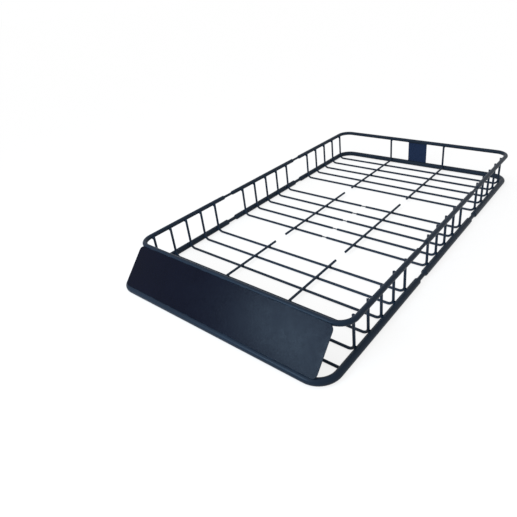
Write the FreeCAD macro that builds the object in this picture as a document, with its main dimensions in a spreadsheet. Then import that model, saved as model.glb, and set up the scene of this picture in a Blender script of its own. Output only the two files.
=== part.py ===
# Roof basket of bent steel tube and rod: a front section with a sloped wind fairing,
# an extension in a left and a right half, and a rear section with a bare plate.
# Millimetres. The front faces -Y, +X is the right-hand side, and the underside lies at Z = 0.
import FreeCAD, Part
import math
import os
import Sketcher

HOOPS = 5
HOOP_SPACES = HOOPS - 1
FRONT, EXTENSION, REAR = 0, 1, 2
SIDES = (("left", "-1"), ("right", "1"))
FULL_TURN = 360

SIZES = (
    ("basket_width", 990.6, "outside width over the bottom rails"),
    ("basket_height", 152.4, "underside of the floor to the top of the top rail"),
    ("bottom_tube_diameter", 25.4, "bottom rail tube"),
    ("bottom_tube_wall", 2.0, "bottom rail tube wall"),
    ("top_tube_diameter", 19.0, "top rail tube"),
    ("top_tube_wall", 1.6, "top rail tube wall"),
    ("rod_diameter", 10.0, "hoops and floor bars"),
    ("weld_gap", 0.2, "root gap between pieces that are welded side by side"),
    ("bottom_bend_radius", 70.0, "bottom rail corners, on the centre line"),
    ("top_bend_radius", 58.0, "top rail corners, on the centre line"),
    ("rod_bend_radius", 22.0, "hoop corners, on the centre line"),
    ("front_bend_radius", 16.0, "floor bars turning up behind the fairing"),
    ("hoop_pitch", 86.0, "from one hoop to the next"),
    ("section_step", 189.5, "last hoop of a section to the first of the next"),
    ("front_reach", 180.0, "first hoop back from the bottom front rail"),
    ("rear_reach", 80.0, "last hoop forward from the bottom rear rail"),
    ("front_slope_run", 118.0, "bottom front rail ahead of the top front rail"),
    ("sill_setback", 95.0, "front sill bar back from the bottom front rail"),
    ("rail_overhang", 74.0, "open rail end past the last hoop of its section"),
    ("shoulder_setback", 55.0, "swaged shoulder ahead of the first hoop of its section"),
    ("swage_length", 10.0, "taper from the tube down to its spigot"),
    ("spigot_engagement", 25.0, "spigot length inside the next rail"),
    ("bottom_spigot_diameter", 16.0, "swaged end of a bottom rail"),
    ("top_spigot_diameter", 12.0, "swaged end of a top rail"),
    ("socket_clearance", 0.2, "spigot to its socket sleeve, on the radius"),
    ("sleeve_length", 30.0, "socket sleeve inside an open rail end"),
    ("floor_bar_spread", 310.0, "between the two floor bars"),
    ("floor_bar_stub", 40.0, "floor bar past the last hoop, front and rear sections"),
    ("extension_bar_stub", 76.0, "floor bar past the end hoops of the extension"),
    ("middle_gap", 26.0, "between the half hoops at mid width"),
    ("pin_diameter", 5.0, "reduced inner end of a left half hoop"),
    ("pin_engagement", 15.0, "pin length inside a right half hoop"),
    ("pin_clearance", 0.2, "pin to its bore, on the radius and at the bottom"),
    ("sheet_thickness", 1.5, "fairing and rear plate"),
    ("fairing_overhang", 38.0, "fairing past the straight of the bottom front rail"),
    ("fairing_corner_radius", 18.0, "corners of the wind fairing"),
    ("plate_width", 107.0, "rear plate"),
)

doc = FreeCAD.newDocument("RoofBasket")
sheet = doc.addObject("Spreadsheet::Sheet", "Sizes")
for row, (alias, number, note) in enumerate(SIZES, start=1):
    sheet.set(f"A{row}", note)
    sheet.set(f"B{row}", str(number))
    sheet.setAlias(f"B{row}", alias)
doc.recompute()

layout = doc.addObject("App::VarSet", "Layout")


def derive(name, expression, note):
    """Adds a value to the layout that follows the sheet."""
    layout.addProperty("App::PropertyFloat", name, "Layout", note)
    layout.setExpression(name, expression)
    doc.recompute()


def value(expression):
    """The number that an expression has now."""
    return float(layout.evalExpression(expression))


def side_by_side(diameter):
    return f"(Sizes.{diameter} + Sizes.rod_diameter) / 2 + Sizes.weld_gap"


derive("rod", "Sizes.rod_diameter / 2", "rod radius, and height of the cross-bars")
derive("bend", "Sizes.rod_bend_radius", "hoop corner radius")
derive("bottom_tube", "Sizes.bottom_tube_diameter / 2", "bottom rail radius, and its height")
derive("top_tube", "Sizes.top_tube_diameter / 2", "top rail radius")
derive("top_level", "Sizes.basket_height - Layout.top_tube", "height of the top rail")
derive("floor_level", "3 * Layout.rod + Sizes.weld_gap", "height of the floor bars")
derive("bottom_seat", side_by_side("bottom_tube_diameter"), "rod welded beside the bottom rail")
derive("top_seat", side_by_side("top_tube_diameter"), "rod welded beside the top rail")
derive("bottom_half", "Sizes.basket_width / 2 - Layout.bottom_tube", "bottom rail from the middle")

# A hoop's corner arc touches the bottom rail, and its upright touches the top rail.
derive("corner_rise", "Layout.rod + Layout.bend - Layout.bottom_tube", "arc centre over the rail")
derive("corner_reach", "sqrt((Layout.bend + Layout.bottom_seat)^2 - Layout.corner_rise^2)",
       "arc centre inside the rail")
derive("upright_half", "Layout.bottom_half - Layout.corner_reach + Layout.bend", "upright from the middle")
derive("top_half", "Layout.upright_half + Layout.top_seat", "top rail from the middle")
derive("inset", "Layout.bottom_half - Layout.top_half", "top rail inside the bottom rail")

derive("hoop_run", f"{HOOP_SPACES} * Sizes.hoop_pitch", "first to last hoop of a section")
derive("rail_length", "Sizes.front_reach + 3 * Layout.hoop_run + 2 * Sizes.section_step + Sizes.rear_reach",
       "bottom front rail to bottom rear rail")
derive("front_line", "-Layout.rail_length / 2", "bottom front rail")
derive("rear_line", "Layout.rail_length / 2", "bottom rear rail")
derive("front_top_line", "Layout.front_line + Sizes.front_slope_run", "top front rail")
derive("rear_top_line", "Layout.rear_line - Layout.inset", "top rear rail")

derive("slope_rise", "Layout.top_level - Layout.bottom_tube", "height of the sloped front")
derive("slope_length", "sqrt(Sizes.front_slope_run^2 + Layout.slope_rise^2)", "between the front rails")
derive("slope_cosine", "Sizes.front_slope_run / Layout.slope_length", "slope of the front")
derive("slope_sine", "Layout.slope_rise / Layout.slope_length", "slope of the front")

# The fairing stands on the crown of the bottom front rail and leans on the top one.
derive("fairing_half", "Layout.bottom_half - Sizes.bottom_bend_radius + Sizes.fairing_overhang",
       "half the fairing")
derive("fairing_back", "(Layout.bottom_tube + Sizes.weld_gap) * Layout.slope_cosine",
       "inner face ahead of the plane of the front rails")
derive("fairing_low", "(Layout.bottom_tube + Sizes.weld_gap) * Layout.slope_sine",
       "bottom edge up the slope")
derive("top_chord", "sqrt(max(0; (Layout.top_tube + Sizes.weld_gap)^2 - Layout.fairing_back^2))",
       "half width of the top rail where the fairing leans on it")
derive("fairing_high", "Layout.slope_length - Layout.top_chord", "top edge up the slope")

# The front floor bars rise behind the fairing, on the inner side of both front rails.
derive("strut_low_y", "Layout.front_line + Layout.slope_sine * Layout.bottom_seat",
       "beside the bottom rail")
derive("strut_low_z", "Layout.bottom_tube - Layout.slope_cosine * Layout.bottom_seat",
       "beside the bottom rail")
derive("strut_top_y", "Layout.front_top_line + Layout.slope_sine * Layout.top_seat", "beside the top rail")
derive("strut_top_z", "Layout.top_level - Layout.slope_cosine * Layout.top_seat", "beside the top rail")
derive("strut_lean",
       "(Layout.strut_top_y - Layout.strut_low_y) / (Layout.strut_top_z - Layout.strut_low_z)",
       "run of the strut for each unit of rise")
derive("strut_foot", "Layout.strut_low_y + (Layout.floor_level - Layout.strut_low_z) * Layout.strut_lean",
       "strut line at the floor")

# The rear floor bars turn up with an arc that touches the bottom rear rail.
derive("rear_upright", "Layout.rear_top_line - Layout.top_seat", "back upright")
derive("rear_inset", "Layout.rear_line - Layout.rear_upright", "back upright inside the bottom rail")
derive("rear_drop", "Layout.floor_level - Layout.bottom_tube", "floor bar over the rail")
derive("rear_slack", "Layout.bottom_seat - Layout.rear_inset - Layout.rear_drop",
       "half the sum of the arc radii")
derive("rear_bend",
       "Layout.rear_slack + sqrt(Layout.rear_slack^2 + Layout.bottom_seat^2"
       " - Layout.rear_inset^2 - Layout.rear_drop^2)", "radius of that arc")

derive("neck", "Sizes.section_step - Sizes.rail_overhang - Sizes.shoulder_setback",
       "shoulder to the next rail")
derive("spigot_length", "Layout.neck + Sizes.spigot_engagement", "shoulder to the spigot's tip")
derive("sill_chord", "sqrt(Layout.bottom_tube^2 - (Layout.bottom_tube - Sizes.rod_diameter)^2)",
       "half width of the bottom rail at the top of the sill bar")
derive("sill_half", "Layout.bottom_half - Layout.sill_chord - Sizes.weld_gap", "sill bar from the middle")


def hoop_line(section, number):
    """Where a hoop stands along the basket, from 0 to 4 in its section."""
    steps = f"{section} * (Layout.hoop_run + Sizes.section_step)"
    return f"(Layout.front_line + Sizes.front_reach + {steps} + {number} * Sizes.hoop_pitch)"


def piece(label, **place):
    """An empty body with its own label, placed by expressions for x, y and z."""
    body = doc.addObject("PartDesign::Body", label)
    body.Label = label
    for axis, expression in place.items():
        body.setExpression(f"Placement.Base.{axis}", expression)
    return body


def sketch_on(body, name, plane, lift=None, shift=None):
    """A sketch on one of the body's own planes, lifted along its normal or shifted along its x."""
    sketch = body.newObject("Sketcher::SketchObject", f"{body.Label}_{name}")
    support = [item for item in body.Origin.OriginFeatures if item.Role == plane][0]
    sketch.AttachmentSupport = [(support, "")]
    sketch.MapMode = "FlatFace"
    if lift:
        sketch.setExpression("AttachmentOffset.Base.z", lift)
    if shift:
        sketch.setExpression("AttachmentOffset.Base.x", shift)
    return sketch


def fix_point(sketch, name, geometry, end, place):
    """Holds a point of a sketch at two expressions."""
    for axis, kind, expression in zip("xy", ("DistanceX", "DistanceY"), place):
        index = sketch.addConstraint(
            Sketcher.Constraint(kind, -1, 1, geometry, end, value(expression)))
        sketch.renameConstraint(index, f"{name}_{axis}")
        sketch.setExpression(f"Constraints.{name}_{axis}", expression)


def trace(sketch, corners, radii, closed=False):
    """Draws straight runs through corner points, with a tangent arc where a corner has a radius."""
    points = [FreeCAD.Vector(value(across), value(along), 0) for across, along in corners]
    count = len(points)
    arcs = {}
    for number, radius in radii.items():
        back = (points[number - 1] - points[number]).normalize()
        ahead = (points[(number + 1) % count] - points[number]).normalize()
        half_angle = back.getAngle(ahead) / 2
        cut = value(radius) / math.tan(half_angle)
        middle = (back + ahead).normalize()
        crown = value(radius) / math.sin(half_angle) - value(radius)
        arcs[number] = (points[number] + back * cut, points[number] + middle * crown,
                        points[number] + ahead * cut)
    runs = []
    for number in range(count if closed else count - 1):
        following = (number + 1) % count
        start = arcs[number][2] if number in arcs else points[number]
        finish = arcs[following][0] if following in arcs else points[following]
        runs.append(sketch.addGeometry(Part.LineSegment(start, finish)))
    for number, corner in enumerate(corners):
        leads_in = closed or number > 0
        leads_out = closed or number < count - 1
        if number in arcs:
            arc = sketch.addGeometry(Part.Arc(*arcs[number]))
            first = 1 if sketch.getPoint(arc, 1).isEqual(arcs[number][0], 1e-4) else 2
            tip = sketch.addGeometry(Part.Point(points[number]), True)
            before, after = runs[number - 1], runs[number]
            sketch.addConstraint(Sketcher.Constraint("Tangent", before, 2, arc, first))
            sketch.addConstraint(Sketcher.Constraint("Tangent", arc, 3 - first, after, 1))
            sketch.addConstraint(Sketcher.Constraint("PointOnObject", tip, 1, before))
            sketch.addConstraint(Sketcher.Constraint("PointOnObject", tip, 1, after))
            index = sketch.addConstraint(Sketcher.Constraint("Radius", arc, value(radii[number])))
            sketch.renameConstraint(index, f"bend_{number}")
            sketch.setExpression(f"Constraints.bend_{number}", radii[number])
            fix_point(sketch, f"corner_{number}", tip, 1, corner)
        elif leads_out:
            fix_point(sketch, f"corner_{number}", runs[number], 1, corner)
            if leads_in:
                before, after = runs[number - 1], runs[number]
                sketch.addConstraint(Sketcher.Constraint("Coincident", before, 2, after, 1))
        else:
            fix_point(sketch, f"corner_{number}", runs[number - 1], 2, corner)


def ring(sketch, diameters, across=None):
    """Concentric circles on the sketch's horizontal axis: an outside and, in a tube, a bore."""
    centre = FreeCAD.Vector(value(across) if across else 0, 0, 0)
    for number, diameter in enumerate(diameters):
        circle = sketch.addGeometry(Part.Circle(centre, FreeCAD.Vector(0, 0, 1), value(diameter) / 2))
        if across:
            sketch.addConstraint(Sketcher.Constraint("PointOnObject", circle, 3, -1))
            index = sketch.addConstraint(Sketcher.Constraint("DistanceX", -1, 1, circle, 3, value(across)))
            sketch.renameConstraint(index, f"centre_{number}")
            sketch.setExpression(f"Constraints.centre_{number}", across)
        else:
            sketch.addConstraint(Sketcher.Constraint("Coincident", circle, 3, -1, 1))
        index = sketch.addConstraint(Sketcher.Constraint("Diameter", circle, value(diameter)))
        sketch.renameConstraint(index, f"diameter_{number}")
        sketch.setExpression(f"Constraints.diameter_{number}", diameter)


def bend_along(body, path_plane, corners, radii, ring_plane, diameters, lift, across=None):
    """Carries a round section along a bent centre line."""
    path = sketch_on(body, "path", path_plane)
    trace(path, corners, radii)
    section = sketch_on(body, "section", ring_plane, lift=lift)
    ring(section, diameters, across)
    doc.recompute()
    pipe = body.newObject("PartDesign::AdditivePipe", f"{body.Label}_pipe")
    pipe.Profile = section
    pipe.Spine = path


def turn_about(body, name, corners, shift=None):
    """Revolves an outline of radii and lengths about a line along Y."""
    profile = sketch_on(body, f"{name}_outline", "XY_Plane", shift=shift)
    trace(profile, corners, {}, closed=True)
    revolution = body.newObject("PartDesign::Revolution", f"{body.Label}_{name}")
    revolution.Profile = profile
    revolution.ReferenceAxis = (profile, ["V_Axis"])
    revolution.Angle = FULL_TURN


def tube(rail):
    """The outside diameter and bore of a rail, its height, its distance from the middle and its radius."""
    outside = f"Sizes.{rail}_tube_diameter"
    bore = f"(Sizes.{rail}_tube_diameter - 2 * Sizes.{rail}_tube_wall)"
    level = {"bottom": "Layout.bottom_tube", "top": "Layout.top_level"}[rail]
    return outside, bore, level, f"Layout.{rail}_half", f"Sizes.{rail}_bend_radius"


def spigot_outline(rail, shoulder):
    """Half section of a swaged spigot ahead of its shoulder, from the outside round to the bore."""
    outside, bore, level, half, bend = tube(rail)
    small = f"(Sizes.{rail}_spigot_diameter / 2)"
    small_bore = f"({small} - Sizes.{rail}_tube_wall)"
    taper_end = f"({shoulder} - Sizes.swage_length)"
    tip = f"({shoulder} - Layout.spigot_length)"
    return [(f"{outside} / 2", shoulder), (small, taper_end), (small, tip),
            (small_bore, tip), (small_bore, taper_end), (f"{bore} / 2", shoulder)]


def sleeve_outline(rail, end):
    """Half section of the sleeve that narrows an open rail end, sunk halfway into the tube's wall."""
    outside, bore, level, half, bend = tube(rail)
    seat = f"({bore} / 2 + Sizes.{rail}_tube_wall / 2)"
    socket = f"(Sizes.{rail}_spigot_diameter / 2 + Sizes.socket_clearance)"
    back = f"({end} - Sizes.sleeve_length)"
    return [(seat, end), (socket, end), (socket, back), (seat, back)]


def end_rail(label, rail, start, corner):
    """A rail round one end of the basket: along the left side, across and back along the right."""
    outside, bore, level, half, bend = tube(rail)
    body = piece(label, z=level)
    corners = [(f"-{half}", start), (f"-{half}", corner), (half, corner), (half, start)]
    bend_along(body, "XY_Plane", corners, {1: bend, 2: bend}, "XZ_Plane", [outside, bore],
               f"-({start})", f"-{half}")
    return body


def front_rail(rail, corner):
    end = f"({hoop_line(FRONT, HOOP_SPACES)} + Sizes.rail_overhang)"
    body = end_rail(f"front_{rail}_rail", rail, end, corner)
    for side, sign in SIDES:
        turn_about(body, f"{side}_sleeve", sleeve_outline(rail, end), f"{sign} * Layout.{rail}_half")
    return body


def rear_rail(rail, corner):
    shoulder = f"({hoop_line(REAR, 0)} - Sizes.shoulder_setback)"
    body = end_rail(f"rear_{rail}_rail", rail, shoulder, corner)
    for side, sign in SIDES:
        turn_about(body, f"{side}_spigot", spigot_outline(rail, shoulder), f"{sign} * Layout.{rail}_half")
    return body


def extension_rail(side, sign, rail):
    outside, bore, level, half, bend = tube(rail)
    body = piece(f"extension_{side}_{rail}_rail", x=f"{sign} * {half}", z=level)
    shoulder = f"({hoop_line(EXTENSION, 0)} - Sizes.shoulder_setback)"
    end = f"({hoop_line(EXTENSION, HOOP_SPACES)} + Sizes.rail_overhang)"
    open_end = [(f"{bore} / 2", end), (f"{outside} / 2", end)]
    turn_about(body, "tube", spigot_outline(rail, shoulder) + open_end)
    turn_about(body, "sleeve", sleeve_outline(rail, end))
    return body


def whole_hoop(label, line):
    """Upright, cross-bar and upright in one bent rod."""
    body = piece(label, y=line)
    corners = [("-Layout.upright_half", "Layout.top_level"), ("-Layout.upright_half", "Layout.rod"),
               ("Layout.upright_half", "Layout.rod"), ("Layout.upright_half", "Layout.top_level")]
    bend_along(body, "XZ_Plane", corners, {1: "Layout.bend", 2: "Layout.bend"}, "XY_Plane",
               ["Sizes.rod_diameter"], "Layout.top_level", "-Layout.upright_half")
    return body


def half_hoop(label, line, sign):
    """Upright and half a cross-bar; the inner end is a pin on the left and a bore on the right."""
    body = piece(label, y=line)
    upright, inner = f"{sign} * Layout.upright_half", f"{sign} * Sizes.middle_gap / 2"
    corners = [(upright, "Layout.top_level"), (upright, "Layout.rod"), (inner, "Layout.rod")]
    bend_along(body, "XZ_Plane", corners, {1: "Layout.bend"}, "XY_Plane",
               ["Sizes.rod_diameter"], "Layout.top_level", upright)
    end = sketch_on(body, "inner_end", "YZ_Plane", lift=inner)
    end.setExpression("AttachmentOffset.Base.y", "Layout.rod")
    doc.recompute()
    if sign == "-1":
        ring(end, ["Sizes.pin_diameter"])
        feature = body.newObject("PartDesign::Pad", f"{label}_pin")
        feature.setExpression("Length", "Sizes.middle_gap + Sizes.pin_engagement")
    else:
        ring(end, ["Sizes.pin_diameter + 2 * Sizes.pin_clearance"])
        feature = body.newObject("PartDesign::Pocket", f"{label}_bore")
        feature.setExpression("Length", "Sizes.pin_engagement + Sizes.pin_clearance")
        feature.Reversed = True
    feature.Profile = end
    return body


def floor_bar(label, sign, corners, radii):
    """A bar along the basket, resting on the cross-bars; its line is given along and above them."""
    body = piece(label, x=f"{sign} * Sizes.floor_bar_spread / 2", z="Layout.floor_level")
    bend_along(body, "YZ_Plane", corners, radii, "XZ_Plane", ["Sizes.rod_diameter"], f"-({corners[0][0]})")
    return body


def front_floor_bar(side, sign):
    stub = f"({hoop_line(FRONT, HOOP_SPACES)} + Sizes.floor_bar_stub)"
    top = ("Layout.strut_top_y", "Layout.strut_top_z - Layout.floor_level")
    return floor_bar(f"front_floor_bar_{side}", sign, [(stub, "0"), ("Layout.strut_foot", "0"), top],
                     {1: "Sizes.front_bend_radius"})


def extension_floor_bar(side, sign):
    start = f"({hoop_line(EXTENSION, 0)} - Sizes.extension_bar_stub)"
    end = f"({hoop_line(EXTENSION, HOOP_SPACES)} + Sizes.extension_bar_stub)"
    return floor_bar(f"extension_{side}_floor_bar", sign, [(start, "0"), (end, "0")], {})


def rear_floor_bar(side, sign):
    stub = f"({hoop_line(REAR, 0)} - Sizes.floor_bar_stub)"
    top = ("Layout.rear_upright", "Layout.top_level - Layout.floor_level")
    return floor_bar(f"rear_floor_bar_{side}", sign, [(stub, "0"), ("Layout.rear_upright", "0"), top],
                     {1: "Layout.rear_bend"})


def sill_bar():
    """A straight cross-bar between the bottom rails, ahead of the first hoop."""
    body = piece("front_sill_bar", y="Layout.front_line + Sizes.sill_setback", z="Layout.rod")
    section = sketch_on(body, "section", "YZ_Plane")
    ring(section, ["Sizes.rod_diameter"])
    pad = body.newObject("PartDesign::Pad", "front_sill_bar_pad")
    pad.Profile = section
    pad.Midplane = True
    pad.setExpression("Length", "2 * Layout.sill_half")
    return body


def sheet_piece(label, plane, corners, radii, lift=None, **place):
    """A flat sheet, with its thickness shared to both sides of its plane."""
    body = piece(label, **place)
    outline = sketch_on(body, "outline", plane, lift=lift)
    trace(outline, corners, radii, closed=True)
    pad = body.newObject("PartDesign::Pad", f"{label}_pad")
    pad.Profile = outline
    pad.Midplane = True
    pad.setExpression("Length", "Sizes.sheet_thickness")
    return body


def wind_fairing():
    """Sloped sheet ahead of the front rails, standing on the bottom one."""
    half = "Layout.fairing_half"
    low = "Layout.fairing_low"
    high = "Layout.fairing_high"
    corners = [(f"-{half}", low), (half, low), (half, high), (f"-{half}", high)]
    radii = {number: "Sizes.fairing_corner_radius" for number in range(len(corners))}
    body = sheet_piece("wind_fairing", "XY_Plane", corners, radii,
                       "Layout.fairing_back + Sizes.sheet_thickness / 2",
                       y="Layout.front_line", z="Layout.bottom_tube")
    body.Placement.Rotation.Axis = FreeCAD.Vector(1, 0, 0)
    body.setExpression("Placement.Rotation.Angle", "atan2(Layout.slope_rise; Sizes.front_slope_run)")
    return body


def rear_plate():
    """Bare plate between the rear rails, at mid width."""
    half = "Sizes.plate_width / 2"
    low = "2 * Layout.bottom_tube + Sizes.weld_gap"
    high = "Layout.top_level - Layout.top_tube - Sizes.weld_gap"
    corners = [(f"-{half}", low), (half, low), (half, high), (f"-{half}", high)]
    return sheet_piece("rear_plate", "XZ_Plane", corners, {}, y="Layout.rear_top_line")


parts = [front_rail("bottom", "Layout.front_line"), front_rail("top", "Layout.front_top_line"),
         rear_rail("bottom", "Layout.rear_line"), rear_rail("top", "Layout.rear_top_line"),
         sill_bar(), wind_fairing(), rear_plate()]
for number in range(HOOPS):
    parts.append(whole_hoop(f"front_hoop_{number + 1}", hoop_line(FRONT, number)))
    parts.append(whole_hoop(f"rear_hoop_{number + 1}", hoop_line(REAR, number)))
for side, sign in SIDES:
    parts.append(front_floor_bar(side, sign))
    parts.append(extension_floor_bar(side, sign))
    parts.append(rear_floor_bar(side, sign))
    parts.append(extension_rail(side, sign, "bottom"))
    parts.append(extension_rail(side, sign, "top"))
    for number in range(HOOPS):
        parts.append(half_hoop(f"extension_{side}_hoop_{number + 1}", hoop_line(EXTENSION, number), sign))

doc.recompute()
for item in doc.Objects:
    if "Invalid" in item.State or "Error" in item.State:
        raise RuntimeError(f"{item.Label} did not build: {item.State}")
for part in parts:
    if part.Shape.isNull() or not part.Shape.isValid():
        raise RuntimeError(f"{part.Label} has no valid shape")

os.makedirs("parts", exist_ok=True)
for part in parts:
    part.Shape.exportStep(f"parts/{part.Label}.step")
    box = part.Shape.BoundBox
    print(f"{part.Label}: {len(part.Shape.Solids)} solid, {part.Shape.Volume:.0f} mm3,"
          f" X {box.XMin:.1f}..{box.XMax:.1f}, Y {box.YMin:.1f}..{box.YMax:.1f},"
          f" Z {box.ZMin:.1f}..{box.ZMax:.1f}")
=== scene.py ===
"""Dresses a black coated steel roof basket: powder coats, weld beads, studio light and camera."""

import math

import bpy
import numpy as np
from bpy.props import FloatProperty, FloatVectorProperty, PointerProperty
from mathutils import Matrix, Vector


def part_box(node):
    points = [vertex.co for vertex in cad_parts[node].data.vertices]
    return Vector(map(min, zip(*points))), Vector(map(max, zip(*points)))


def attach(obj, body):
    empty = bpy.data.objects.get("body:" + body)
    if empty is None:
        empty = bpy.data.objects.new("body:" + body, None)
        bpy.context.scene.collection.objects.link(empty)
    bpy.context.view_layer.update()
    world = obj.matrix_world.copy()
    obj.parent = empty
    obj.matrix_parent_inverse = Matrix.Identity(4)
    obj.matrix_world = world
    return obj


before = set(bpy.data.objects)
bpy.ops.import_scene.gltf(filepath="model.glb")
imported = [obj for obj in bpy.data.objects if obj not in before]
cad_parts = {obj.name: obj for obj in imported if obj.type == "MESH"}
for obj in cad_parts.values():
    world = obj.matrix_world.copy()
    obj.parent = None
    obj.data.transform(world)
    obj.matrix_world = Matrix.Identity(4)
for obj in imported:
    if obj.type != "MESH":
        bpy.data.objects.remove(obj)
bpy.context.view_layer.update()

bl_info = {
    "name": "Roof Basket Looks",
    "version": (1, 0, 0),
    "blender": (4, 5, 0),
    "location": "View3D > Sidebar > Basket",
    "description": "Coats, weld beads, light and camera for a tube and rod roof basket",
    "category": "Object",
}

MM = 0.001
HOOPS = 5
HOOP_ROWS = ("front_hoop", "extension_left_hoop", "rear_hoop")
X_AXIS = np.array([1.0, 0.0, 0.0])
Y_AXIS = np.array([0.0, 1.0, 0.0])
Z_AXIS = np.array([0.0, 0.0, 1.0])
TO_LEFT = np.array([-1.0, 1.0, 1.0])
WHITE = (1.0, 1.0, 1.0, 1.0)

# The photograph's frame, and the sensor that the focal length is worked out for.
IMAGE_SIDE = 517
SENSOR_WIDTH = 36.0

# Patterns of the powder coat, in repeats for each metre, and how far they move shade and roughness.
MOTTLE_SCALE = 9.0
MARK_SCALE = 46.0
PEEL_SCALE = 620.0
SPECK_SCALE = 2300.0
MOTTLE_SHARE = 0.7
PEEL_SHARE = 0.8
SHADE_LEVEL = 0.80
LIGHT_LEVEL = 1.30
MOTTLE_ROUGHNESS = 0.10
MARK_ROUGHNESS = 0.12
PEEL_STRENGTH = 0.35

# A weld is coated thin over its ripples, so it is a little paler and rougher than the rod beside it.
WELD_LEVEL = 1.15
WELD_ROUGHNESS = 0.5
WELD_PEEL = 0.5 * MM
RIPPLE_DEPTH = 0.07

# Places and sizes of beads as shares of the rod's radius or of a full bead.
BEAD_STEP = 0.72
CROSSING_STEP = 0.6
CROSSING_REACH = 0.95
CROSSING_WIDTH = 0.72
SLOPE_DROP = 0.6
STITCH_WIDTH = 0.4
PLATE_MARKS = np.array([-0.6, 0.0, 0.6])


class BasketFinish(bpy.types.PropertyGroup):
    """Colours and gloss of the powder coats."""

    rail_colour: FloatVectorProperty(
        name="Rail colour", description="Base colour of the tube rails", subtype="COLOR",
        size=3, min=0.0, max=1.0, default=(0.0053, 0.0128, 0.0247))
    rod_colour: FloatVectorProperty(
        name="Rod colour", description="Base colour of hoops and floor bars", subtype="COLOR",
        size=3, min=0.0, max=1.0, default=(0.0085, 0.0178, 0.0330))
    fairing_colour: FloatVectorProperty(
        name="Fairing colour", description="Base colour of the wind fairing", subtype="COLOR",
        size=3, min=0.0, max=1.0, default=(0.0004, 0.0014, 0.0068))
    plate_colour: FloatVectorProperty(
        name="Plate colour", description="Base colour of the rear plate", subtype="COLOR",
        size=3, min=0.0, max=1.0, default=(0.0135, 0.0255, 0.0600))
    rail_roughness: FloatProperty(
        name="Rail roughness", description="Roughness of the semi-gloss coat on tube and rod",
        subtype="FACTOR", min=0.0, max=1.0, default=0.40)
    sheet_roughness: FloatProperty(
        name="Sheet roughness", description="Roughness of the satin coat on fairing and plate",
        subtype="FACTOR", min=0.0, max=1.0, default=0.29)
    rail_gloss: FloatProperty(
        name="Rail gloss", description="Specular level of the coat on tube and rod", subtype="FACTOR",
        min=0.0, max=1.0, default=0.12)
    sheet_gloss: FloatProperty(
        name="Sheet gloss", description="Specular level of the coat on fairing and plate",
        subtype="FACTOR", min=0.0, max=1.0, default=0.06)
    rail_peel: FloatProperty(
        name="Rail orange peel", description="Depth of the coat's waviness on the rails",
        subtype="DISTANCE", unit="LENGTH", min=0.0, max=0.002, default=0.25 * MM)
    rod_peel: FloatProperty(
        name="Rod orange peel", description="Depth of the coat's waviness on hoops and floor bars",
        subtype="DISTANCE", unit="LENGTH", min=0.0, max=0.002, default=0.2 * MM)
    sheet_peel: FloatProperty(
        name="Sheet orange peel", description="Depth of the coat's waviness on fairing and plate",
        subtype="DISTANCE", unit="LENGTH", min=0.0, max=0.002, default=0.3 * MM)


class BasketWelds(bpy.types.PropertyGroup):
    """Sizes of the weld beads and of the bends that they sit on."""

    bead_length: FloatProperty(
        name="Bead length", description="Length of a bead beside a rod", subtype="DISTANCE",
        unit="LENGTH", min=0.002, max=0.03, default=11 * MM)
    bead_width: FloatProperty(
        name="Bead width", description="Width of a bead", subtype="DISTANCE",
        unit="LENGTH", min=0.001, max=0.01, default=4.2 * MM)
    stitch_length: FloatProperty(
        name="Stitch length", description="Length of a stitch along a sheet's edge", subtype="DISTANCE",
        unit="LENGTH", min=0.005, max=0.1, default=28 * MM)
    stitch_pitch: FloatProperty(
        name="Stitch pitch", description="From one stitch to the next", subtype="DISTANCE",
        unit="LENGTH", min=0.02, max=0.5, default=95 * MM)
    rod_bend: FloatProperty(
        name="Rod bend", description="Centre line radius of a hoop's corner", subtype="DISTANCE",
        unit="LENGTH", min=0.005, max=0.1, default=22 * MM)


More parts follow.
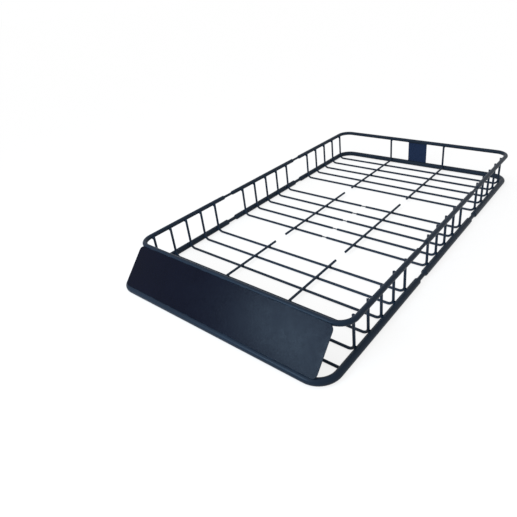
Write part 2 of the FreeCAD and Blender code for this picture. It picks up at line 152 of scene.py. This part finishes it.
class BasketStage(bpy.types.PropertyGroup):
    """Camera, floor and light."""

    azimuth: FloatProperty(
        name="Azimuth", description="Camera bearing, from the front towards the right-hand side",
        subtype="ANGLE", unit="ROTATION", default=math.radians(41.0))
    elevation: FloatProperty(
        name="Elevation", description="Camera height angle", subtype="ANGLE", unit="ROTATION",
        default=math.radians(28.4))
    roll: FloatProperty(
        name="Roll", description="Camera turned about its own view", subtype="ANGLE", unit="ROTATION",
        default=math.radians(-6.0))
    distance: FloatProperty(
        name="Distance", description="Camera from its aim", subtype="DISTANCE", unit="LENGTH",
        default=1.9489)
    aim: FloatVectorProperty(
        name="Aim", description="Point that azimuth, elevation and distance are measured from",
        subtype="XYZ", size=3, default=(0.0, -0.2333, 0.004))
    slide: FloatVectorProperty(
        name="Slide", description="Camera moved to its right and up, across its view", size=2,
        default=(-0.0956, 0.0892))
    focal_pixels: FloatProperty(
        name="Focal length in pixels", description="Focal length for an image of 517 pixels",
        default=459.8)
    principal_point: FloatVectorProperty(
        name="Principal point", description="Pixel that the lens axis passes through", size=2,
        default=(285.0, 230.0))
    view_reach: FloatProperty(
        name="View reach", description="Farthest distance that the camera draws", subtype="DISTANCE",
        unit="LENGTH", min=1.0, default=200.0)
    world_strength: FloatProperty(
        name="World strength", description="Even light from all round", min=0.0, default=0.90)
    sun_strength: FloatProperty(
        name="Sun strength", description="Soft overhead light", min=0.0, default=0.50)
    sun_spread: FloatProperty(
        name="Sun spread", description="Angle that the overhead light fills", subtype="ANGLE",
        unit="ROTATION", min=0.0, default=math.radians(50.0))
    sun_place: FloatVectorProperty(
        name="Sun place", description="Where the overhead light comes from", subtype="XYZ", size=3,
        default=(-1.2, -1.6, 4.0))
    key_power: FloatProperty(
        name="Key power", description="Panel lamp whose reflection lies on the right of the fairing",
        subtype="POWER", unit="POWER", min=0.0, default=32.0)
    key_colour: FloatVectorProperty(
        name="Key colour", description="Cool light of the panel lamp", subtype="COLOR", size=3,
        min=0.0, max=1.0, default=(0.51, 0.75, 1.0))
    key_size: FloatVectorProperty(
        name="Key size", description="Width and height of the panel lamp", size=2, default=(1.05, 0.35))
    key_place: FloatVectorProperty(
        name="Key place", description="Centre of the panel lamp", subtype="XYZ", size=3,
        default=(-0.48, -2.25, 1.08))
    key_target: FloatVectorProperty(
        name="Key target", description="Point on the fairing that the panel lamp faces", subtype="XYZ",
        size=3, default=(0.38, -0.78, 0.08))
    floor_colour: FloatVectorProperty(
        name="Floor colour", description="Pale floor", subtype="COLOR", size=3, min=0.0, max=1.0,
        default=(0.95, 0.95, 0.95))
    floor_veil: FloatProperty(
        name="Floor veil", description="Share of plain white that the camera sees on the floor",
        subtype="FACTOR", min=0.0, max=1.0, default=0.80)
    floor_reach: FloatProperty(
        name="Floor reach", description="From the middle to an edge of the floor", subtype="DISTANCE",
        unit="LENGTH", min=2.0, default=40.0)


class Wire:
    """A shader socket that takes part in arithmetic; each operation adds a Math node."""

    def __init__(self, tree, socket=None):
        self.tree = tree
        self.socket = socket

    def node(self, kind, settings, sockets, output=0):
        """Adds a node of one type: first its settings, then the values or links of its sockets."""
        made = self.tree.nodes.new(kind)
        for name, setting in settings.items():
            setattr(made, name, setting)
        for name, given in sockets.items():
            if isinstance(given, Wire):
                self.tree.links.new(given.socket, made.inputs[name])
            else:
                made.inputs[name].default_value = given
        return Wire(self.tree, made.outputs[output])

    def math(self, operation, first, second):
        return self.node("ShaderNodeMath", {"operation": operation}, {0: first, 1: second})

    def __add__(self, other):
        return self.math("ADD", self, other)

    __radd__ = __add__

    def __mul__(self, other):
        return self.math("MULTIPLY", self, other)

    __rmul__ = __mul__

    def __sub__(self, other):
        return self.math("SUBTRACT", self, other)

    def __rsub__(self, other):
        return self.math("SUBTRACT", other, self)


def new_graph(material):
    """An empty node tree with only an output."""
    material.use_nodes = True
    tree = material.node_tree
    tree.nodes.clear()
    return Wire(tree), tree.nodes.new("ShaderNodeOutputMaterial")


def seen_directly(graph):
    """One for a ray from the camera, a mirror or glass, and nought for light on the object."""
    camera = graph.node("ShaderNodeLightPath", {}, {}, "Is Camera Ray")
    paths = camera.socket.node.outputs
    mirror = Wire(graph.tree, paths["Is Glossy Ray"])
    glass = Wire(graph.tree, paths["Is Transmission Ray"])
    return camera + mirror + glass


def noise(graph, place, scale, detail):
    sockets = {"Vector": place, "Scale": scale, "Detail": detail}
    return graph.node("ShaderNodeTexNoise", {}, sockets, "Fac")


def powder_coat(name, colour, roughness, gloss, peel_depth):
    """Baked powder coat: faint mottling, dull handling marks and an orange-peel bump."""
    material = bpy.data.materials.new(name)
    graph, output = new_graph(material)
    place = graph.node("ShaderNodeTexCoord", {}, {}, "Object")
    mottle = noise(graph, place, MOTTLE_SCALE, 3.0)
    marks = noise(graph, place, MARK_SCALE, 6.0)
    peel = noise(graph, place, PEEL_SCALE, 2.0)
    speck = noise(graph, place, SPECK_SCALE, 1.0)
    shade = [channel * SHADE_LEVEL for channel in colour] + [1.0]
    light = [channel * LIGHT_LEVEL for channel in colour] + [1.0]
    tint = mottle * MOTTLE_SHARE + marks * (1 - MOTTLE_SHARE)
    body = graph.node("ShaderNodeMix", {"data_type": "RGBA"}, {0: tint, 6: shade, 7: light}, 2)
    least_rough = roughness - (MOTTLE_ROUGHNESS + MARK_ROUGHNESS) / 2
    rough = mottle * MOTTLE_ROUGHNESS + marks * MARK_ROUGHNESS + least_rough
    height = peel * PEEL_SHARE + speck * (1 - PEEL_SHARE)
    bump = graph.node("ShaderNodeBump", {}, {
        "Strength": PEEL_STRENGTH, "Distance": peel_depth, "Height": height}, "Normal")
    shader = graph.node("ShaderNodeBsdfPrincipled", {}, {
        "Base Color": body, "Roughness": rough, "Specular IOR Level": gloss, "Normal": bump}, "BSDF")
    graph.tree.links.new(shader.socket, output.inputs["Surface"])
    return material


def coated_weld(context):
    """The weld material, made once and shared by every group of beads."""
    found = bpy.data.materials.get("weld_powder_coat")
    if found:
        return found
    finish = context.scene.basket_finish
    colour = [channel * WELD_LEVEL for channel in finish.rod_colour]
    return powder_coat("weld_powder_coat", colour, WELD_ROUGHNESS, finish.rail_gloss, WELD_PEEL)


def set_material(target, material):
    target.data.materials.clear()
    target.data.materials.append(material)


def add_mesh(name, vertices, faces, material):
    """A new piece at the origin, shaded smooth, riding the basket's one body."""
    mesh = bpy.data.meshes.new(name)
    mesh.from_pydata(vertices.tolist(), [], faces)
    mesh.polygons.foreach_set("use_smooth", np.ones(len(mesh.polygons), dtype=bool))
    mesh.update()
    piece = bpy.data.objects.new(name, mesh)
    bpy.context.scene.collection.objects.link(piece)
    set_material(piece, material)
    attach(piece, "root")


def unit(vectors):
    vectors = np.asarray(vectors, dtype=float)
    return vectors / np.linalg.norm(vectors, axis=-1, keepdims=True)


def bead_surface(centres, axes, normals, half_length, half_width, rows=13, columns=10, ripples=5):
    """Rippled spindles, round in section, all worked out as one array.

    At t from -1 to 1 along a bead, its half width is (1 - t^4)^0.6 times a cosine ripple.
    centres, axes and normals hold one row for each bead.
    """
    centres = np.asarray(centres, dtype=float)
    axes = unit(axes)
    normals = unit(normals)
    across = np.cross(axes, normals)
    t = np.linspace(-1.0, 1.0, rows + 2)[1:-1]
    swell = (1.0 - t ** 4) ** 0.6 * (1.0 + RIPPLE_DEPTH * np.cos(ripples * math.pi * t))
    turn = np.linspace(0.0, 2.0 * math.pi, columns, endpoint=False)
    ring = (np.cos(turn)[None, :, None] * across[:, None, :]
            + np.sin(turn)[None, :, None] * normals[:, None, :])
    body = (centres[:, None, None, :]
            + axes[:, None, None, :] * (t * half_length)[None, :, None, None]
            + ring[:, None, :, :] * (swell * half_width)[None, :, None, None])
    count = len(centres)
    poles = np.stack([centres - axes * half_length, centres + axes * half_length], axis=1)
    vertices = np.concatenate([body.reshape(count, rows * columns, 3), poles], axis=1)
    return vertices.reshape(-1, 3), spindle_faces(count, rows, columns)


def spindle_faces(count, rows, columns):
    """Quads between the rings of each spindle and triangles round its two poles."""
    grid = np.arange(rows * columns).reshape(rows, columns)
    ahead = np.roll(grid, -1, axis=1)
    quads = np.stack([grid[:-1], grid[1:], ahead[1:], ahead[:-1]], axis=-1).reshape(-1, 4)
    low_pole = np.full(columns, rows * columns)
    low = np.stack([low_pole, grid[0], ahead[0]], axis=-1)
    high = np.stack([low_pole + 1, ahead[-1], grid[-1]], axis=-1)
    starts = (np.arange(count) * (rows * columns + 2))[:, None, None]
    return ((quads[None] + starts).reshape(-1, 4).tolist()
            + (low[None] + starts).reshape(-1, 3).tolist()
            + (high[None] + starts).reshape(-1, 3).tolist())


class Layout:
    """Places of rails and rods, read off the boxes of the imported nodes."""

    def __init__(self, rod_bend):
        bottom_low, bottom_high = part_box("front_bottom_rail")
        top_low, top_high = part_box("front_top_rail")
        hoop_low, hoop_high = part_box("front_hoop_1")
        bar_low, bar_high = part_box("rear_floor_bar_right")
        self.rod = (hoop_high.y - hoop_low.y) / 2
        self.bend = rod_bend
        self.bottom_tube = (bottom_high.z - bottom_low.z) / 2
        self.top_tube = (top_high.z - top_low.z) / 2
        self.bottom_level = (bottom_high.z + bottom_low.z) / 2
        self.top_level = (top_high.z + top_low.z) / 2
        self.bottom_half = bottom_high.x - self.bottom_tube
        self.upright_half = hoop_high.x - self.rod
        self.bar_half = (bar_high.x + bar_low.x) / 2
        self.front_line = bottom_low.y + self.bottom_tube
        self.front_top_line = top_low.y + self.top_tube
        self.rear_top_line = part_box("rear_top_rail")[1].y - self.top_tube
        self.slope = unit([0.0, self.front_top_line - self.front_line,
                           self.top_level - self.bottom_level])
        self.slope_inward = np.array([0.0, self.slope[2], -self.slope[1]])

    def hoop_lines(self):
        """The hoops of all three sections along Y."""
        names = [f"{row}_{number}" for row in HOOP_ROWS for number in range(1, HOOPS + 1)]
        return np.array([sum(corner.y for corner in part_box(name)) / 2 for name in names])


def basket_layout(context):
    return Layout(context.scene.basket_welds.rod_bend)


def on_both_sides(lines, across, level):
    """One point on the right and one on the left for each line along Y."""
    right = np.column_stack([np.full_like(lines, across), lines, np.full_like(lines, level)])
    return np.concatenate([right, right * TO_LEFT])


def beside_rod(points, along, outward, step_axis, step):
    """Two beads for each contact, one on either side of the rod."""
    points = np.repeat(points, 2, axis=0)
    signs = np.tile([-1.0, 1.0], len(points) // 2)[:, None]
    return points + signs * step * step_axis, np.repeat(along, 2, axis=0), np.repeat(outward, 2, axis=0)


class BASKET_OT_coats(bpy.types.Operator):
    """Gives every tube, rod and sheet of the basket its powder coat"""

    bl_idname = "basket.coats"
    bl_label = "Powder coats"

    def execute(self, context):
        finish = context.scene.basket_finish
        rail = powder_coat("rail_powder_coat", finish.rail_colour, finish.rail_roughness,
                           finish.rail_gloss, finish.rail_peel)
        rod = powder_coat("rod_powder_coat", finish.rod_colour, finish.rail_roughness,
                          finish.rail_gloss, finish.rod_peel)
        fairing = powder_coat("fairing_powder_coat", finish.fairing_colour, finish.sheet_roughness,
                              finish.sheet_gloss, finish.sheet_peel)
        plate = powder_coat("plate_powder_coat", finish.plate_colour, finish.sheet_roughness,
                            finish.sheet_gloss, finish.sheet_peel)
        for name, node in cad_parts.items():
            if name == "wind_fairing":
                set_material(node, fairing)
            elif name == "rear_plate":
                set_material(node, plate)
            elif name.endswith("_rail"):
                set_material(node, rail)
            else:
                set_material(node, rod)
        return {"FINISHED"}


class BASKET_OT_hoop_welds(bpy.types.Operator):
    """Beads where each hoop lies against the bottom and top rails"""

    bl_idname = "basket.hoop_welds"
    bl_label = "Hoop welds"

    def execute(self, context):
        place = basket_layout(context)
        arc_x = place.upright_half - place.bend
        arc_z = place.rod + place.bend
        lean = unit([place.bottom_half - arc_x, 0.0, place.bottom_level - arc_z])
        contact = np.array([arc_x, 0.0, arc_z]) + lean * (place.bend + place.rod)
        along = np.array([-lean[2], 0.0, lean[0]])
        self.lay_beads(context, place, "bottom_rail_welds", contact, along, lean)
        half = context.scene.basket_welds.bead_length / 2
        contact = np.array([place.upright_half + place.rod, 0.0, place.top_level - half])
        self.lay_beads(context, place, "top_rail_welds", contact, Z_AXIS, X_AXIS)
        return {"FINISHED"}

    def lay_beads(self, context, place, name, contact, along, outward):
        """Two beads at each contact of a hoop with one rail, mirrored to the left-hand side."""
        welds = context.scene.basket_welds
        points = on_both_sides(place.hoop_lines(), contact[0], contact[2])
        mirror = np.sign(points[:, :1]) * X_AXIS + Y_AXIS + Z_AXIS
        centres, axes, normals = beside_rod(points, along * mirror, outward * mirror, Y_AXIS,
                                            place.rod * BEAD_STEP)
        vertices, faces = bead_surface(centres, axes, normals, welds.bead_length / 2,
                                       welds.bead_width / 2)
        add_mesh(name, vertices, faces, coated_weld(context))


class BASKET_OT_floor_welds(bpy.types.Operator):
    """Beads where the floor bars cross the hoops and meet the rails at both ends"""

    bl_idname = "basket.floor_welds"
    bl_label = "Floor bar welds"

    def execute(self, context):
        welds = context.scene.basket_welds
        place = basket_layout(context)
        self.crossing_welds(place, welds.bead_width / 2, coated_weld(context))
        self.end_welds(place, welds.bead_length / 2, welds.bead_width / 2, coated_weld(context))
        return {"FINISHED"}

    def crossing_welds(self, place, half_width, weld):
        """Beads along each floor bar where it lies on a cross-bar or on the sill bar."""
        sill_low, sill_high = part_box("front_sill_bar")
        lines = np.append(place.hoop_lines(), (sill_low.y + sill_high.y) / 2)
        points = on_both_sides(lines, place.bar_half, 2 * place.rod)
        along = np.tile(Y_AXIS, (len(points), 1))
        outward = np.tile(Z_AXIS, (len(points), 1))
        centres, axes, normals = beside_rod(points, along, outward, X_AXIS, place.rod * CROSSING_STEP)
        vertices, faces = bead_surface(centres, axes, normals, place.rod * CROSSING_REACH,
                                       half_width * CROSSING_WIDTH)
        add_mesh("floor_crossing_welds", vertices, faces, weld)

    def end_welds(self, place, half, half_width, weld):
        """Beads at the tops of the four upturned floor bars."""
        front = np.array([place.bar_half, place.front_top_line, place.top_level])
        front = front + place.slope_inward * place.top_tube - place.slope * half * SLOPE_DROP
        rear = np.array([place.bar_half, place.rear_top_line - place.top_tube, place.top_level - half])
        right = np.stack([front, rear])
        points = np.concatenate([right, right * TO_LEFT])
        along = np.tile([place.slope, Z_AXIS], (2, 1))
        outward = np.tile([place.slope_inward, -Y_AXIS], (2, 1))
        centres, axes, normals = beside_rod(points, along, outward, X_AXIS, place.rod * BEAD_STEP)
        vertices, faces = bead_surface(centres, axes, normals, half, half_width)
        add_mesh("floor_bar_end_welds", vertices, faces, weld)


class BASKET_OT_sheet_welds(bpy.types.Operator):
    """Stitch welds along the inner edges of the fairing and the rear plate"""

    bl_idname = "basket.sheet_welds"
    bl_label = "Sheet stitches"

    def execute(self, context):
        place = basket_layout(context)
        plate_low, plate_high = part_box("rear_plate")
        self.fairing_stitches(context, place, plate_high.y - plate_low.y)
        low = np.array([0.0, plate_low.y, plate_low.z])
        high = np.array([0.0, plate_low.y, plate_high.z])
        marks = PLATE_MARKS * plate_high.x
        self.stitch(context, "plate_stitches", marks, (low, high), -Y_AXIS, "plate_coat")
        return {"FINISHED"}

    def fairing_stitches(self, context, place, sheet):
        """Evenly spaced stitches behind the fairing, sunk half a sheet into its bottom and top edges."""
        pitch = context.scene.basket_welds.stitch_pitch
        fairing_low, fairing_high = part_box("wind_fairing")
        sunk = place.slope_inward * sheet / 2
        low = np.array([0.0, fairing_low.y + sheet * place.slope[2], fairing_low.z]) + sunk
        high = np.array([0.0, fairing_high.y, fairing_high.z - sheet * place.slope[1]]) + sunk
        reach = fairing_high.x - 2 * place.bend
        marks = np.arange(-reach, reach, pitch)
        marks = marks + (reach - marks[-1]) / 2
        self.stitch(context, "fairing_stitches", marks, (low, high), place.slope_inward, "fairing_coat")

    def stitch(self, context, name, marks, edges, outward, slot):
        """Short beads along X at each mark, on each edge."""
        welds = context.scene.basket_welds
        centres = np.concatenate([edge + marks[:, None] * X_AXIS for edge in edges])
        axes = np.tile(X_AXIS, (len(centres), 1))
        normals = np.tile(outward, (len(centres), 1))
        vertices, faces = bead_surface(centres, axes, normals, welds.stitch_length / 2,
                                       welds.bead_width * STITCH_WIDTH, rows=25, ripples=11)
        add_mesh(name, vertices, faces, coated_weld(context))


class BASKET_OT_stage(bpy.types.Operator):
    """Pale floor, even studio light and the camera"""

    bl_idname = "basket.stage"
    bl_label = "Stage"

    def execute(self, context):
        stage = context.scene.basket_stage
        context.scene.view_settings.view_transform = "Standard"
        self.lay_floor(context, stage)
        self.light_world(context, stage)
        self.hang_lamps(context, stage)
        self.place_camera(context, stage)
        return {"FINISHED"}

    def lay_floor(self, context, stage):
        """A flat square of one quad; the camera sees its shadow through a veil of plain white."""
        square = np.array([[-1, -1, 0], [1, -1, 0], [1, 1, 0], [-1, 1, 0]], dtype=float)
        corners = square * stage.floor_reach
        mesh = bpy.data.meshes.new("floor")
        mesh.from_pydata(corners.tolist(), [], [[0, 1, 2, 3]])
        floor = bpy.data.objects.new("floor", mesh)
        context.scene.collection.objects.link(floor)
        material = bpy.data.materials.new("pale_floor")
        graph, output = new_graph(material)
        lit = graph.node("ShaderNodeBsdfDiffuse", {}, {"Color": list(stage.floor_colour) + [1.0]})
        white = graph.node("ShaderNodeEmission", {}, {"Color": WHITE, "Strength": 1.0})
        veil = seen_directly(graph) * stage.floor_veil
        shader = graph.node("ShaderNodeMixShader", {}, {0: veil, 1: lit, 2: white})
        graph.tree.links.new(shader.socket, output.inputs["Surface"])
        set_material(floor, material)

    def light_world(self, context, stage):
        """Even light, shown as plain white to the camera and in reflections."""
        world = bpy.data.worlds.new("studio")
        context.scene.world = world
        world.use_nodes = True
        tree = world.node_tree
        tree.nodes.clear()
        graph = Wire(tree)
        seen = seen_directly(graph)
        strength = seen + (1 - seen) * stage.world_strength
        back = graph.node("ShaderNodeBackground", {}, {"Color": WHITE, "Strength": strength})
        output = tree.nodes.new("ShaderNodeOutputWorld")
        tree.links.new(back.socket, output.inputs["Surface"])

    def hang_lamps(self, context, stage):
        """A soft sun overhead and a panel to the front left of the fairing."""
        sun = bpy.data.lights.new("overhead", "SUN")
        sun.energy = stage.sun_strength
        sun.angle = stage.sun_spread
        self.aim_lamp(context, sun, Vector(stage.sun_place), Vector((0.0, 0.0, 0.0)))
        key = bpy.data.lights.new("fairing_panel", "AREA")
        key.energy = stage.key_power
        key.shape = "RECTANGLE"
        key.size, key.size_y = stage.key_size
        key.color = stage.key_colour
        self.aim_lamp(context, key, Vector(stage.key_place), Vector(stage.key_target))

    def aim_lamp(self, context, lamp, place, target):
        holder = bpy.data.objects.new(lamp.name, lamp)
        context.scene.collection.objects.link(holder)
        turn = (target - place).to_track_quat("-Z", "Y").to_matrix().to_4x4()
        holder.matrix_world = Matrix.Translation(place) @ turn

    def place_camera(self, context, stage):
        """A camera given by bearing, height angle, roll and distance, moved across its own view."""
        back = Vector((math.sin(stage.azimuth) * math.cos(stage.elevation),
                       -math.cos(stage.azimuth) * math.cos(stage.elevation),
                       math.sin(stage.elevation)))
        right = Vector((math.cos(stage.azimuth), math.sin(stage.azimuth), 0.0))
        up = back.cross(right)
        place = Vector(stage.aim) + back * stage.distance + right * stage.slide[0] + up * stage.slide[1]
        turned_right = right * math.cos(stage.roll) + up * math.sin(stage.roll)
        turned_up = back.cross(turned_right)
        lens = bpy.data.cameras.new("photo_camera")
        lens.sensor_fit = "HORIZONTAL"
        lens.sensor_width = SENSOR_WIDTH
        lens.lens = stage.focal_pixels / IMAGE_SIDE * SENSOR_WIDTH
        lens.shift_x = 0.5 - stage.principal_point[0] / IMAGE_SIDE
        lens.shift_y = stage.principal_point[1] / IMAGE_SIDE - 0.5
        lens.clip_end = stage.view_reach
        camera = bpy.data.objects.new("photo_camera", lens)
        context.scene.collection.objects.link(camera)
        turn = Matrix((turned_right, turned_up, back)).transposed().to_4x4()
        camera.matrix_world = Matrix.Translation(place) @ turn
        context.scene.camera = camera


class BASKET_PT_looks(bpy.types.Panel):
    """Lists the basket's operators and settings"""

    bl_idname = "BASKET_PT_looks"
    bl_label = "Roof basket"
    bl_space_type = "VIEW_3D"
    bl_region_type = "UI"
    bl_category = "Basket"

    def draw(self, context):
        for operator in OPERATORS:
            self.layout.operator(operator.bl_idname)
        for group_name, group in GROUPS:
            box = self.layout.box()
            for name in group.__annotations__:
                box.prop(getattr(context.scene, group_name), name)


GROUPS = (("basket_finish", BasketFinish), ("basket_welds", BasketWelds), ("basket_stage", BasketStage))
OPERATORS = (BASKET_OT_coats, BASKET_OT_hoop_welds, BASKET_OT_floor_welds, BASKET_OT_sheet_welds,
             BASKET_OT_stage)


def register():
    for name, group in GROUPS:
        bpy.utils.register_class(group)
        setattr(bpy.types.Scene, name, PointerProperty(type=group))
    for operator in OPERATORS:
        bpy.utils.register_class(operator)
    bpy.utils.register_class(BASKET_PT_looks)


def unregister():
    bpy.utils.unregister_class(BASKET_PT_looks)
    for operator in reversed(OPERATORS):
        bpy.utils.unregister_class(operator)
    for name, group in reversed(GROUPS):
        delattr(bpy.types.Scene, name)
        bpy.utils.unregister_class(group)


def main():
    """Registers the add-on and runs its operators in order."""
    register()
    bpy.ops.basket.coats()
    bpy.ops.basket.hoop_welds()
    bpy.ops.basket.floor_welds()
    bpy.ops.basket.sheet_welds()
    bpy.ops.basket.stage()


if __name__ == "__main__":
    main()
